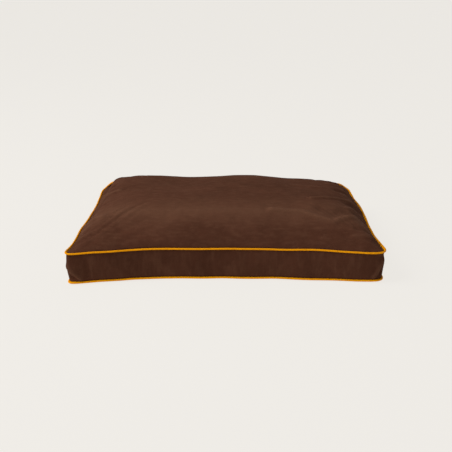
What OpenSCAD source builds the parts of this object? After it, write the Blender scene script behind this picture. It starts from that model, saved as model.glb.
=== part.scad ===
// Box-edge pet bed: a piped, zipped cover over a fibre-filled pillow insert.
// Millimetres, +Z up, the floor at z = 0, the front at -Y and the zip on the +Y side.

/* [Bed] */
// Overall width, over the piping at the corners
bed_width = 1000; // [900:10:1200]
// Overall depth, over the piping at the corners
bed_depth = 700; // [600:10:900]
// Height of the side band, from seam to seam
band_height = 100; // [80:5:140]
// Rise of the filled top above the top seam
crown = 96; // [40:2:120]
// Height of the bottom seam above the floor
seam_lift = 7; // [6:0.5:10]

/* [Outline] */
// How far the filling pulls the front seam in between its corners
front_pull = 33; // [0:1:40]
// How far it pulls in each short side
side_pull = 9; // [0:1:20]
// How far it pulls in the rear seam, which the zip holds straight
rear_pull = 9; // [4:1:12]
// Length over which a pulled-in seam returns to its corner
ear_length = 300; // [200:10:300]
// How far the top seam droops at the corners
corner_drop = 5; // [0:1:8]
// Radius of the seam at a corner
corner_radius = 15; // [13:1:25]

/* [Cloth] */
// Thickness of the cover cloth
cover_t = 1.2; // [0.8:0.1:1.4]
// Thickness of the insert's liner
liner_t = 0.6; // [0.4:0.1:1]
// Thickness of the bias tape round the piping cord
tape_t = 0.6; // [0.4:0.1:0.7]
// Width turned in along each seam
seam_allowance = 10; // [6:1:10]
// Outward bulge of the side band
band_bulge = 5; // [2:0.5:8]

/* [Piping] */
// Diameter of the finished piping
piping_d = 6; // [5:0.5:7]

/* [Zip] */
// Length of the rear opening that the zip closes
opening_length = 820; // [700:10:840]
// Width between the folded edges along the zip
zip_gap = 12; // [12:0.5:14]
// Width of each zip tape
zip_tape_w = 14; // [12:1:16]
// Width of one row of coil
coil_w = 2.5; // [2:0.1:2.6]
// Length of the pull tab from its pivot
pull_length = 30; // [20:1:40]

/* [Hidden] */

brown = "#4a2c21";
amber = "#d99414";
cream = "#e6dfd0";
zip_black = "#1d1a19";
metal = "#8d8a84";

// Seam lines: half sizes, heights and the straight rear stretch
piping_r = piping_d / 2;
half_w = bed_width / 2 - piping_r;
half_d = bed_depth / 2 - piping_r;
z_bottom = seam_lift;
z_top = seam_lift + band_height;
rear_y = half_d - rear_pull;
opening_x = opening_length / 2;
zip_z = (z_bottom + z_top) / 2;
gap = 0.1;

// Section at a seam, as [inset, rise] from the piping's centre. The allowances
// run inwards from the seam at this angle to the floor.
flange_angle = 25;
flange_dir = [cos(flange_angle), -sin(flange_angle)];
flange_up = [sin(flange_angle), cos(flange_angle)];
flange_half = tape_t + gap / 2;
fold_at = piping_r + gap;
panel_slope = 55;

function mirrored(p) = [p[0], -p[1]];
// A point k along the flange and n above its middle
function flange(k, n) = k * flange_dir + n * flange_up;
// Inner corner of cloth t thick that turns at p from direction a to direction b
function turned(p, a, b, t) =
    p + t / sin(abs(a - b) / 2) * [cos((a + b) / 2), sin((a + b) / 2)];

// ---- Plan of the seam: a list of [point, outward direction] stations ----

front_steps = 14;
side_steps = 8;
rear_steps = 10;
ear_steps = 4;
corner_steps = 5;

corner_x = half_w - corner_radius;
corner_y = half_d - corner_radius;
function smooth(t) = t * t * (3 - 2 * t);
function front_y(x) =
    -half_d + front_pull * sin(90 * min(1, (corner_x - abs(x)) / ear_length));
function side_x(y) = half_w - side_pull * sin(90 * min(1, (corner_y - abs(y)) / ear_length));
function back_y(x) =
    half_d - rear_pull * smooth(min(1, (corner_x - abs(x)) / (corner_x - opening_x)));

function corner(sx, sy, from) = [
    for (i = [0:corner_steps]) let (a = from + 90 * i / corner_steps)
        [[sx * corner_x, sy * corner_y] + corner_radius * [cos(a), sin(a)], [cos(a), sin(a)]]
];
function inner_steps(n) = [for (i = [1:n - 1]) i / n];

// The stretch of the wrapped band, from the left end of the opening round to its right end
band_path = concat(
    [for (i = [0:ear_steps - 1]) let (x = -opening_x - (corner_x - opening_x) * i / ear_steps)
        [[x, back_y(x)], [0, 1]]],
    corner(-1, 1, 90),
    [for (t = inner_steps(side_steps)) let (y = corner_y * (1 - 2 * t)) [[-side_x(y), y], [-1, 0]]],
    corner(-1, -1, 180),
    [for (t = inner_steps(front_steps)) let (x = corner_x * (2 * t - 1)) [[x, front_y(x)], [0, -1]]],
    corner(1, -1, 270),
    [for (t = inner_steps(side_steps)) let (y = corner_y * (2 * t - 1)) [[side_x(y), y], [1, 0]]],
    corner(1, 1, 0),
    [for (i = [ear_steps - 1:-1:0]) let (x = opening_x + (corner_x - opening_x) * i / ear_steps)
        [[x, back_y(x)], [0, 1]]]
);
// The straight stretch over the opening, from its right end to its left end
rear_path = [for (i = [0:rear_steps]) [[opening_x * (1 - 2 * i / rear_steps), rear_y], [0, 1]]];
full_path = concat(band_path, [for (i = [1:rear_steps - 1]) rear_path[i]]);

// Height of the top seam, which droops at the corners, beyond the ends of the opening
function seam_z(p) = z_top - corner_drop * pow(abs(p[1] / half_d), 4)
    * smooth(max(0, min(1, (abs(p[0]) - opening_x) / (corner_x - opening_x))));

// A section point is [inset, level, rise]: level 0 is the bottom seam and 1 the top one
function place(station, p) =
    let (q = station[0] - p[0] * station[1])
    [q[0], q[1], z_bottom + (seam_z(station[0]) - z_bottom) * p[1] + p[2]];
function ring(path, p) = [for (s = path) place(s, p)];
function at_top(p) = [p[0], 1, p[1]];
function at_bottom(p) = [p[0], 0, -p[1]];

// ---- Solids from grids of points ----

function reversed(list) = [for (i = [len(list) - 1:-1:0]) list[i]];

// Faces between rows a and b of n points, which start at index a and b. The back of
// a cloth splits its quads the other way, so that both faces fold along the same lines.
function strip(a, b, n, wrap, back) = [
    for (i = [0:n - (wrap ? 1 : 2)]) let (j = (i + 1) % n) each back
        ? [[a + i, a + j, b + i], [a + j, b + j, b + i]]
        : [[a + i, a + j, b + j], [a + i, b + j, b + i]]
];

// Cloth between rows of its outer face and rows of its inner face, side to side.
// A wrapped cloth closes on itself along each row; an open one has two ends.
module cloth(outer, inner, wrap) {
    n = len(outer[0]);
    rows = concat(outer, reversed(inner));
    m = len(rows);
    h = len(outer);
    polyhedron(
        points = [for (r = rows) each r],
        faces = concat(
            [for (k = [0:m - 1]) each strip(k * n, (k + 1) % m * n, n, wrap, k >= h)],
            wrap ? [] : [for (k = [0:h - 2], e = [0, n - 1])
                let (a = k * n + e, b = (k + 1) * n + e,
                     c = (m - 2 - k) * n + e, d = (m - 1 - k) * n + e)
                each e == 0 ? [[a, b, c], [a, c, d]] : [[a, c, b], [a, d, c]]]
        )
    );
}

// A closed form from a first tip, through a front's rings and a back's, to a last tip
module tipped(front, back, first, last) {
    rings = concat(front, back);
    n = len(rings[0]);
    m = len(rings);
    polyhedron(
        points = concat([for (r = rings) each r], [first, last]),
        faces = concat(
            [for (k = [0:m - 2]) each strip(k * n, (k + 1) * n, n, true, k >= len(front))],
            [for (i = [0:n - 1]) [(i + 1) % n, i, m * n]],
            [for (i = [0:n - 1]) [(m - 1) * n + i, (m - 1) * n + (i + 1) % n, m * n + 1]]
        )
    );
}

rod_sides = 8;
// A rod of round section along a path
module rod(path, r, level) {
    sections = [for (s = path) [for (i = [0:rod_sides - 1]) let (a = 360 * i / rod_sides)
        place(s, [r * cos(a), level, -r * sin(a)])]];
    n = len(sections);
    polyhedron(
        points = [for (s = sections) each s],
        faces = concat(
            [for (k = [0:n - 2]) each
                strip(k * rod_sides, (k + 1) * rod_sides, rod_sides, true, false)],
            [[for (i = [rod_sides - 1:-1:0]) i],
             [for (i = [0:rod_sides - 1]) (n - 1) * rod_sides + i]]
        )
    );
}

// ---- Filled surface over the top ----

// The filled top is level in the middle and falls away over its shoulders
ring_scales = [0.4, 0.6, 0.74, 0.84, 0.91, 0.955, 0.982];
length_power = 9;
depth_power = 5.5;
// Rise of the filled top at p
function crown_z(p) =
    let (u = abs(p[0]) / side_x(p[1]), v = abs(p[1]) / (p[1] < 0 ? -front_y(p[0]) : rear_y))
    crown * (1 - pow(min(1, u), length_power)) * (1 - pow(min(1, v), depth_power));

// Ring of the filled top: the outline set in, scaled, and moved down by drop
function crown_ring(inset, scale, drop) = [
    for (s = full_path) let (q = (s[0] - inset * s[1]) * scale)
        [q[0], q[1], z_top + crown_z(q) - drop]
];

// ---- Cover ----

top_fold = flange(fold_at, flange_half + gap);
band_fold = flange(fold_at, -flange_half - gap);
top_fold_inner = turned(top_fold, panel_slope, -flange_angle, cover_t);
band_fold_inner = turned(band_fold, -90, -flange_angle, cover_t);
allowance_end = fold_at + seam_allowance - 2;
panel_inset = top_fold[0] + cover_t * 0.6;
panel_drop = cover_t * 1.25;

module top_panel() color(brown) {
    outer = concat(
        [for (s = ring_scales) crown_ring(top_fold[0], s, 0)],
        [ring(full_path, at_top(top_fold)),
         ring(full_path, at_top(flange(allowance_end, flange_half + gap)))]
    );
    inner = concat(
        [for (s = ring_scales) crown_ring(panel_inset, s, panel_drop)],
        [ring(full_path, at_top(top_fold_inner)),
         ring(full_path, at_top(flange(allowance_end, flange_half + gap + cover_t)))]
    );
    tipped(outer, reversed(inner),
        [0, 0, z_top + crown], [0, 0, z_top + crown - panel_drop]);
}

// The underside lies flat on the floor and rises to the bottom seam near its edge
flat_inset = 60;
under_inset = 12;
under_z = seam_lift * 0.65;
under_slope = -20;
function floor_ring(z) = [for (s = full_path)
    let (q = s[0] * (1 - flat_inset / half_d)) [q[0], q[1], z]];
module bottom_panel() color(brown) {
    fold = mirrored(top_fold);
    fold_inner = turned(fold, under_slope, flange_angle, cover_t);
    outer = [floor_ring(0),
        ring(full_path, [under_inset, 0, under_z - z_bottom]),
        ring(full_path, [fold[0], 0, fold[1]]),
        ring(full_path, at_bottom(flange(allowance_end, flange_half + gap)))];
    inner = [floor_ring(cover_t),
        ring(full_path, [under_inset, 0, under_z - z_bottom + cover_t]),
        ring(full_path, [fold_inner[0], 0, fold_inner[1]]),
        ring(full_path, at_bottom(flange(allowance_end, flange_half + gap + cover_t)))];
    tipped(inner, reversed(outer), [0, 0, cover_t], [0, 0, 0]);
}

// Outer face of the side band at a share of its height, off millimetres outside it
function band_point(share, off) =
    [band_fold[0] - band_bulge * sin(180 * share) - off, share,
     -band_fold[1] * (1 - 2 * share)];
band_shares = [0.12, 0.3, 0.5, 0.7, 0.88];
function band_top(n) = [at_top(flange(allowance_end, -n - gap)),
    at_top(n > flange_half ? band_fold_inner : band_fold)];
function band_bottom(n) = [at_bottom(n > flange_half ? band_fold_inner : band_fold),
    at_bottom(flange(allowance_end, -n - gap))];

module boxing_band() color(brown) {
    face = [for (i = [len(band_shares) - 1:-1:0]) band_point(band_shares[i], 0)];
    back = [for (i = [len(band_shares) - 1:-1:0]) band_point(band_shares[i], -cover_t)];
    outer = concat(band_top(flange_half), face, band_bottom(flange_half));
    inner = concat(band_top(flange_half + cover_t), back, band_bottom(flange_half + cover_t));
    cloth([for (p = outer) ring(band_path, p)], [for (p = inner) ring(band_path, p)], false);
}

// The two strips beside the zip turn back on themselves at their free edge
hem_w = 10;
strip_end = 0.4;
strip_path = [for (s = rear_path) [[s[0][0] * (1 - strip_end / opening_x), s[0][1]], s[1]]];
hem_share = 0.5 + zip_gap / 2 / band_height;
hem_end = hem_share + hem_w / band_height;
function flipped(p) = [p[0], 1 - p[1], -p[2]];
module rear_strip(upper) {
    shares = [0.88, 0.7, hem_share];
    face = [for (s = shares) band_point(s, 0)];
    back = [for (s = shares) band_point(s, -cover_t)];
    hem_face = [band_point(hem_share, -2 * cover_t - gap), band_point(hem_end, -2 * cover_t - gap)];
    hem_back = [band_point(hem_share + cover_t / band_height, -cover_t - gap / 2),
        band_point(hem_end, -cover_t - gap)];
    outer = concat(band_top(flange_half), face, hem_face);
    inner = concat(band_top(flange_half + cover_t), [back[0], back[1]],
        [band_point(hem_share + cover_t / band_height, -cover_t)], hem_back);
    rows_out = [for (p = outer) ring(strip_path, upper ? p : flipped(p))];
    rows_in = [for (p = inner) ring(strip_path, upper ? p : flipped(p))];
    if (upper) cloth(rows_out, rows_in, false);
    else cloth(rows_in, rows_out, false);
}
module rear_boxing_upper() color(brown) rear_strip(true);
module rear_boxing_lower() color(brown) rear_strip(false);

// ---- Piping: bias tape folded round a cord, its ends butted at the rear ----

piping_join_x = -300;
join_gap = 0.4;
piping_path = let (
        joined = [[[piping_join_x - join_gap / 2, rear_y], [0, 1]]],
        before = [for (s = rear_path) if (s[0][0] > piping_join_x + 10) s],
        after = [for (s = rear_path) if (s[0][0] < piping_join_x - 10 && s[0][0] > -opening_x) s]
    ) concat(joined, after, band_path, [for (i = [1:len(before) - 1]) before[i]],
        [[[piping_join_x + join_gap / 2, rear_y], [0, 1]]]);

wrap_steps = 8;
// The folded tape, as points round the cord from one leg of the flange to the other
function wrap(r, leg) = let (from = asin(leg / r)) concat(
    [flange(allowance_end, leg)],
    [for (i = [0:wrap_steps]) let (a = from + (360 - 2 * from) * i / wrap_steps - flange_angle)
        r * [cos(a), sin(a)]],
    [flange(allowance_end, -leg)]
);
function piping_rows(points, level) = [for (p = points)
    ring(piping_path, level == 1 ? at_top(p) : at_bottom(p))];
module piping_cover(level) color(amber) {
    outer = piping_rows(wrap(piping_r, flange_half), level);
    inner = piping_rows(wrap(piping_r - tape_t, gap / 2), level);
    if (level == 1) cloth(outer, inner, false);
    else cloth(inner, outer, false);
}
cord_r = (piping_r - tape_t) * cos(180 / wrap_steps) - gap;
module piping_cord(level) color(cream) rod(piping_path, cord_r, level);
module top_piping_cover() piping_cover(1);
module bottom_piping_cover() piping_cover(0);
module top_piping_cord() piping_cord(1);
module bottom_piping_cord() piping_cord(0);

// ---- Zip, closed at its -X end. Local axes: x along it, y outwards, z across ----

tape_thick = 0.6;
hem_y = band_bulge * sin(180 * hem_end) - band_fold[0] - 2 * cover_t - gap;
tape_y = min(-1.4, hem_y - tape_thick - gap);
coil_h = 1.9;
coil_gap = 1.4;
running_gap = 0.35;
coil_edge = coil_gap / 2 + coil_w;
chain_x = opening_x - 18;
slider_len = 12;
slider_wide = 9.2;
plate_t = 1.3;
plate_y = tape_y + tape_thick + gap + coil_h + running_gap;
pivot_y = plate_y + plate_t + 1.3;
slider_rest_x = -chain_x + 4 + slider_len / 2;
bar_r = 0.8;
knuckle_r = 0.95;

module at_zip() translate([0, rear_y, zip_z]) children();
module at_slider() at_zip() translate([slider_rest_x, 0, 0]) children();
module block(x0, x1, y0, y1, z0, z1) translate([x0, y0, z0]) cube([x1 - x0, y1 - y0, z1 - z0]);

module zip_tape(side) color(zip_black) at_zip() {
    z0 = side > 0 ? coil_gap / 2 : -coil_gap / 2 - zip_tape_w;
    block(-opening_x + 1, opening_x - 1, tape_y, tape_y + tape_thick, z0, z0 + zip_tape_w);
}
module zip_coil(side) color(zip_black) at_zip() {
    z0 = side > 0 ? coil_gap / 2 : -coil_gap / 2 - coil_w;
    y0 = tape_y + tape_thick + gap;
    block(-chain_x + 3.2, chain_x - 3.2, y0, y0 + coil_h, z0, z0 + coil_w);
}
module zip_tape_upper() zip_tape(1);
module zip_tape_lower() zip_tape(-1);
module zip_coil_upper() zip_coil(1);
module zip_coil_lower() zip_coil(-1);

// Outline of a slider plate, wide at the mouth, which faces -X
module plate_outline() hull() for (side = [-1, 1]) {
    translate([-slider_len / 2 + 1.6, side * (slider_wide / 2 - 1.6)]) circle(r = 1.6, $fn = 32);
    translate([slider_len / 2 - 1.2, side * (slider_wide / 2 - 2)]) circle(r = 1.2, $fn = 32);
}
module plate(y0, t) translate([0, y0 + t, 0]) rotate([90, 0, 0]) linear_extrude(t) plate_outline();

bridge_w = 2.2;
bridge_half = 3.6;
module zip_slider() color(metal) at_slider() {
    lower_y = tape_y - running_gap;
    plate(plate_y, plate_t);
    plate(lower_y - 1.2, 1.2);
    // the post that parts the two rows
    block(-5, -0.5, lower_y - 0.5, plate_y + 0.5, -0.4, 0.4);
    // flanges that keep the rows in the channel
    for (side = [-1, 1]) {
        z0 = side > 0 ? coil_edge + running_gap : -coil_edge - running_gap - 0.6;
        block(-3.5, 4.5, tape_y + tape_thick + 0.4, plate_y + 0.5, z0, z0 + 0.6);
    }
    // the bridge that holds the pull
    translate([0, plate_y + plate_t, -bridge_w / 2]) linear_extrude(bridge_w) difference() {
        hull() for (x = [-1, 1]) {
            translate([x * (bridge_half - 1.6), 1.9]) circle(r = 1.6, $fn = 32);
            translate([x * (bridge_half - 0.6), 0]) square([1.2, 0.8], center = true);
        }
        hull() for (x = [-1, 1]) translate([x * 1.2, 1.4]) circle(r = 1.1, $fn = 32);
        translate([-2.3, -1]) square([4.6, 2.4]);
    }
}

// The tab points along +X, over the closed chain, and turns on its own cross bar
pull_w = 9;
arm_w = 1.4;
module zip_pull() color(metal) at_slider() translate([0, pivot_y, 0]) {
    translate([0, 0, -3]) cylinder(h = 6, r = bar_r, $fn = 32);
    for (z = [-3, 3 - arm_w]) translate([0, 0, z]) cylinder(h = arm_w, r = knuckle_r, $fn = 32);
    for (z = [-3, 3 - arm_w]) block(0, 6.5, -bar_r, bar_r, z, z + arm_w);
    translate([0, bar_r, 0]) rotate([90, 0, 0]) linear_extrude(2 * bar_r) difference() {
        hull() {
            for (z = [-1, 1]) translate([7, z * 2]) circle(r = 1, $fn = 32);
            for (z = [-1, 1]) translate([pull_length - 4, z * (pull_w / 2 - 3)]) circle(r = 3, $fn = 32);
        }
        hull() for (x = [11, pull_length - 5]) translate([x, 0]) circle(r = 1.5, $fn = 32);
    }
}

stop_len = 2.8;
// A staple folded over the edges of both tapes, from x0
module staple(x0, reach) difference() {
    block(x0, x0 + stop_len, tape_y - 0.9, tape_y + tape_thick + coil_h, -reach, reach);
    for (side = [-1, 1]) block(x0 - 1, x0 + stop_len + 1, tape_y - gap, tape_y + tape_thick + gap,
        side > 0 ? coil_gap / 2 - 0.2 : -reach - 1, side > 0 ? reach + 1 : -coil_gap / 2 + 0.2);
}
// Two stops, one on each tape, with the gap between the rows left open
module zip_top_stops() color(metal) at_zip() difference() {
    staple(-chain_x, coil_edge);
    block(-chain_x - 1, -chain_x + stop_len + 1, tape_y - 2, plate_y, -0.3, 0.3);
}
module zip_bottom_stop() color(metal) at_zip() staple(chain_x - stop_len, coil_edge);

// ---- Blank label, caught in the end seam and lying on the lower strip ----

label_t = 0.4;
label_x = [opening_x - 32, opening_x - 1];
label_shares = [0.12, 0.2, 0.28, 0.36];
module care_label() color(cream) {
    path = [for (x = [label_x[1], label_x[0]]) [[x, rear_y], [0, 1]]];
    cloth([for (i = [len(label_shares) - 1:-1:0]) ring(path, band_point(label_shares[i], label_t + 0.4))],
        [for (i = [len(label_shares) - 1:-1:0]) ring(path, band_point(label_shares[i], 0.4))], false);
}

// ---- Insert: a two-panel liner round loose fibre, sewn along its waist ----

insert_edge = 0.955;
insert_waist = 0.965;
insert_gap = 3;
fill_gap = 1;
shoulder = 16;
waist_z = (z_bottom + z_top) / 2;
// Ring of the insert at a scale of the seam's outline
function insert_ring(scale, z) = [for (s = full_path) [s[0][0] * scale, s[0][1] * scale, z]];

// Face of the insert from its crown down to its waist, set in by off. Its rings
// lie under those of the top panel.
function insert_upper(off) = concat(
    [for (s = ring_scales) if (s < insert_edge - 0.02)
        crown_ring(panel_inset, s, panel_drop + insert_gap + off * 1.6)],
    [insert_ring(insert_edge - off / half_d, z_top - shoulder - off * 2),
     insert_ring(insert_waist - off / half_d, waist_z + gap / 2)]
);
// Face of the insert from its waist down to the middle of its underside
function insert_lower(off) = [
    insert_ring(insert_waist - off / half_d, waist_z - gap / 2),
    insert_ring(insert_edge - off / half_d, z_bottom + shoulder + off),
    insert_ring(insert_edge - 0.04 - off / half_d, z_bottom + cover_t + 2 + off),
    insert_ring(insert_edge - 0.15 - off / half_d, cover_t + 1 + off)
];
function insert_tip(off) = [0, 0, z_top + crown - panel_drop - insert_gap - off * 1.6];
function insert_base(off) = [0, 0, cover_t + 1 + off];

module liner_top() color(cream)
    tipped(insert_upper(0), reversed(insert_upper(liner_t)),
        insert_tip(0), insert_tip(liner_t));
module liner_bottom() color(cream)
    tipped(reversed(insert_lower(liner_t)), insert_lower(0),
        insert_base(liner_t), insert_base(0));
module fibre_fill() color("white")
    tipped(insert_upper(liner_t + fill_gap), insert_lower(liner_t + fill_gap),
        insert_tip(liner_t + fill_gap), insert_base(liner_t + fill_gap));

// ---- Parts ----

top_panel();
bottom_panel();
boxing_band();
rear_boxing_upper();
rear_boxing_lower();
top_piping_cover();
top_piping_cord();
bottom_piping_cover();
bottom_piping_cord();
zip_tape_upper();
zip_tape_lower();
zip_coil_upper();
zip_coil_lower();
zip_slider();
zip_pull();
zip_top_stops();
zip_bottom_stop();
care_label();
liner_top();
liner_bottom();
fibre_fill();
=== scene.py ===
import math
import bpy
import bmesh
import numpy as np
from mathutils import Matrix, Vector, noise


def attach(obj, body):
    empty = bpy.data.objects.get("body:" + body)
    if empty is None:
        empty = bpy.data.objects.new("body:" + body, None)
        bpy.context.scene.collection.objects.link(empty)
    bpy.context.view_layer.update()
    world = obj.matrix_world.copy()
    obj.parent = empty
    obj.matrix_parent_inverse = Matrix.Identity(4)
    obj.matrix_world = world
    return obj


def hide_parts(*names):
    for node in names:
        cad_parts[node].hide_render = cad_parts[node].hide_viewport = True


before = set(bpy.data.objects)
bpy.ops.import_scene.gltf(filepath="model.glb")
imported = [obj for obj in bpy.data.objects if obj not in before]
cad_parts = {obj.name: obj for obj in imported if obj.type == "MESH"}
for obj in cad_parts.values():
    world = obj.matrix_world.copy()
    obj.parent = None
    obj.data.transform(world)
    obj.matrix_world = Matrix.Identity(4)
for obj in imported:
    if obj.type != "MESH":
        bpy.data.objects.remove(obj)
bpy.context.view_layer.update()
scene = bpy.context.scene
ROOT = "cushion"

# ---- sizes, as in part.scad, in metres
PIPE_R = 0.003
HALF_W, HALF_D = 0.497, 0.347
Z_LOW, Z_TOP = 0.007, 0.107
FRONT_PULL, SIDE_PULL, REAR_PULL = 0.033, 0.009, 0.009
EAR, DROP, CORNER_R = 0.300, 0.005, 0.015
CROWN = 0.096
BULGE = 0.005
COVER_T = 0.0012
OPENING = 0.410
REAR_Y = HALF_D - REAR_PULL
ZIP_Z = (Z_LOW + Z_TOP) / 2
ZIP_GAP = 0.012
HAIR = 0.0001  # the gap left between pieces that touch
TAPE_Y, TAPE_T, COIL_H, COIL_W, COIL_GAP = -0.0014, 0.0006, 0.0019, 0.0025, 0.0014
CHAIN = OPENING - 0.018

# ---- camera
cam_data = bpy.data.cameras.new("camera")
camera = bpy.data.objects.new("camera", cam_data)
scene.collection.objects.link(camera)
scene.camera = camera
cam_data.sensor_width = 36
cam_data.lens = 55.8
camera.location = (0.0, -(HALF_D + PIPE_R + 2.027), Z_TOP + 0.828)
camera.rotation_euler = (math.radians(90 - 20.0), 0, 0)
cam_data.dof.use_dof = False


# ---- the seam's plan
CX, CY = HALF_W - CORNER_R, HALF_D - CORNER_R


def ease(t):
    return t * t * (3 - 2 * t)


def side_x(y):
    return HALF_W - SIDE_PULL * math.sin(math.pi / 2 * min(1, (CY - abs(y)) / EAR))


def front_y(x):
    return -HALF_D + FRONT_PULL * math.sin(math.pi / 2 * min(1, (CX - abs(x)) / EAR))


def rear_y(x):
    return HALF_D - REAR_PULL * ease(min(1, (CX - abs(x)) / (CX - OPENING)))


def corner_arc(sx, sy, start):
    """Points round one corner of the seam, from this angle in degrees on."""
    turn = [math.radians(start + 6 * i) for i in range(16)]
    return [(sx * CX + CORNER_R * math.cos(a), sy * CY + CORNER_R * math.sin(a)) for a in turn]


def between(a, b, n):
    """The steps from a to b, without the two ends."""
    return np.linspace(a, b, n + 1)[1:-1]


def seam_line():
    """The seam in plan, anticlockwise from the left end of the zip opening, as a closed polyline."""
    pts = [(x, rear_y(x)) for x in np.linspace(-OPENING, -CX, 20)[:-1]]
    pts += corner_arc(-1, 1, 90)
    pts += [(-side_x(y), y) for y in between(CY, -CY, 130)]
    pts += corner_arc(-1, -1, 180)
    pts += [(x, front_y(x)) for x in between(-CX, CX, 190)]
    pts += corner_arc(1, -1, 270)
    pts += [(side_x(y), y) for y in between(-CY, CY, 130)]
    pts += corner_arc(1, 1, 0)
    pts += [(x, rear_y(x)) for x in np.linspace(CX, OPENING, 20)[1:]]
    pts += [(x, REAR_Y) for x in between(OPENING, -OPENING, 150)]
    return np.array(pts)


def closed(rows):
    """Rows of points with the first one repeated at the end."""
    return np.vstack([rows, rows[:1]])


def sample(s, lengths, rows):
    """Rows of points given at some arc lengths, read off at others."""
    return np.stack([np.interp(s, lengths, rows[:, k]) for k in range(rows.shape[1])], -1)


class Loop:
    """A closed curve by arc length, with outward normals."""

    def __init__(self, pts):
        self.p = np.asarray(pts)
        d = np.linalg.norm(np.roll(self.p, -1, 0) - self.p, axis=1)
        self.s = np.concatenate([[0], np.cumsum(d)])
        self.total = self.s[-1]

    def at(self, s):
        return sample(np.mod(s, self.total), self.s, closed(self.p))

    def normal(self, s):
        t = self.at(np.asarray(s) + 0.004) - self.at(np.asarray(s) - 0.004)
        n = np.stack([t[..., 1], -t[..., 0]], -1)
        return n / np.linalg.norm(n, axis=-1, keepdims=True)

    def nearest(self, x, y):
        i = np.argmin((self.p[:, 0] - x) ** 2 + (self.p[:, 1] - y) ** 2)
        return self.s[i]


def smoothed(p, rounds):
    for _ in range(rounds):
        p = p * 0.5 + (np.roll(p, 1, 0) + np.roll(p, -1, 0)) * 0.25
    return p


SEAM = Loop(smoothed(seam_line(), 2))


def n3(x, y, z, scale, seed):
    """Smooth noise about 0, in lumps of this scale; each seed gives another field."""
    return noise.noise(Vector((x / scale + seed * 7.3, y / scale - seed * 3.1, z / scale + seed)))


def wander(s, seed, amp, scale):
    """A slow closed wobble along the seam."""
    a = 2 * math.pi * s / SEAM.total
    r = SEAM.total / (2 * math.pi)
    return amp * n3(r * math.cos(a), r * math.sin(a), 0, scale, seed)


def smooth01(x, a, b):
    """0 below a, 1 above b, and an even passage between them."""
    return ease(np.clip((x - a) / (b - a), 0, 1))


def bump(t, centre, width):
    """1 at the centre, fading to 0 over about twice the width."""
    return math.exp(-((t - centre) / width) ** 2)


def mound(x, y, cx, cy, rx, ry):
    """The same in plan: 1 at (cx, cy), with its own width in x and in y."""
    return math.exp(-((x - cx) / rx) ** 2 - ((y - cy) / ry) ** 2)


def line_distance(x, y, start, end):
    """Distance from a point to the straight line between two others."""
    (ax, ay), (bx, by) = start, end
    dx, dy = bx - ax, by - ay
    t = max(0.0, min(1.0, ((x - ax) * dx + (y - ay) * dy) / (dx * dx + dy * dy)))
    return math.hypot(x - ax - t * dx, y - ay - t * dy)


def seam_point(s, level):
    """Centre of the piping at arc length s: level 1 on the top seam, 0 on the bottom one."""
    p, n = SEAM.at(s), SEAM.normal(s)
    x, y = p
    # the seam wanders less and less towards the zip
    loose = 1 - smooth01(y, REAR_Y - 0.10, REAR_Y - 0.012)
    front = 1 - smooth01(y, -0.31, -0.24)
    out = loose * (wander(s, 3 + level, 0.0010, 0.09) + wander(s, 5 + level, 0.0014, 0.2))
    if level == 1:
        droop = abs(y / HALF_D) ** 4 * ease(max(0.0, min(1.0, (abs(x) - OPENING) / (CX - OPENING))))
        z = Z_TOP - DROP * droop + loose * wander(s, 9, 0.0014, 0.12)
        by_corner, right_of_middle = bump(abs(x), 0.39, 0.08), bump(x, 0.20, 0.10)
        z -= front * (0.0025 * by_corner + 0.0015 * right_of_middle)
        out += front * (0.004 * by_corner + 0.002 * right_of_middle)
        if x > 0:
            out += (1 - front) * loose * (0.012 * bump(y, 0.09, 0.09) + 0.006 * bump(y, -0.02, 0.06))
            out += smooth01(x, 0.40, 0.47) * (0.003 * bump(y, -0.10, 0.10) + 0.006 * bump(y, -0.275, 0.05))
        else:
            out += (1 - front) * loose * (0.005 * bump(y, -0.15, 0.07) - 0.003 * bump(y, 0.12, 0.12))
        # stuffing lifts the rear seam between its corners
        lift = 0.012 + 0.019 * bump(x, -0.445, 0.06) + 0.010 * bump(x, 0.445, 0.06)
        z += smooth01(y, 0.31, 0.335) * lift * smooth01(HALF_W - abs(x), 0.003, 0.030)
    else:
        z = Z_LOW + loose * max(-0.001, wander(s, 12, 0.0016, 0.09))
        out += front * (0.006 * bump(x, -0.34, 0.09) + 0.008 * bump(x, 0.27, 0.11))
        out += smooth01(x, 0.44, 0.48) * 0.007 * bump(y, -0.29, 0.03)
    q = p + n * out
    return np.array([q[0], q[1], z]), n


def crown(x, y):
    """Rise of an evenly stuffed top: flat in the middle and steep at the seams."""
    u = min(1, abs(x) / side_x(y))
    v = min(1, abs(y) / (-front_y(x) if y < 0 else REAR_Y))
    return CROWN * (1 - u ** 9) * (1 - v ** 5.5)


# ---- mesh helpers
def shade_smooth(me):
    me.polygons.foreach_set("use_smooth", [True] * len(me.polygons))


def new_object(name, verts, faces, smooth=True):
    """A mesh object with its doubled points merged and its normals outwards."""
    me = bpy.data.meshes.new(name)
    me.from_pydata([tuple(map(float, v)) for v in verts], [], [tuple(f) for f in faces])
    me.validate()
    bm = bmesh.new()
    bm.from_mesh(me)
    bmesh.ops.remove_doubles(bm, verts=bm.verts, dist=1e-6)
    bmesh.ops.recalc_face_normals(bm, faces=bm.faces)
    bm.to_mesh(me)
    bm.free()
    ob = bpy.data.objects.new(name, me)
    scene.collection.objects.link(ob)
    if smooth:
        shade_smooth(me)
    return ob


def grid_faces(rows, cols):
    """Faces of a grid of points stored row by row."""
    faces = []
    for i in range(rows - 1):
        for j in range(cols - 1):
            a, b = i * cols + j, (i + 1) * cols + j
            faces.append((a, a + 1, b + 1, b))
    return faces


def wall_faces(rows, n):
    """Faces between closed rows of n points, each row joined to the next and the last to the first."""
    faces = []
    for k in range(rows):
        a, b = k * n, (k + 1) % rows * n
        faces += [(a + i, a + i + 1, b + i + 1, b + i) for i in range(n - 1)]
    return faces


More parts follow.
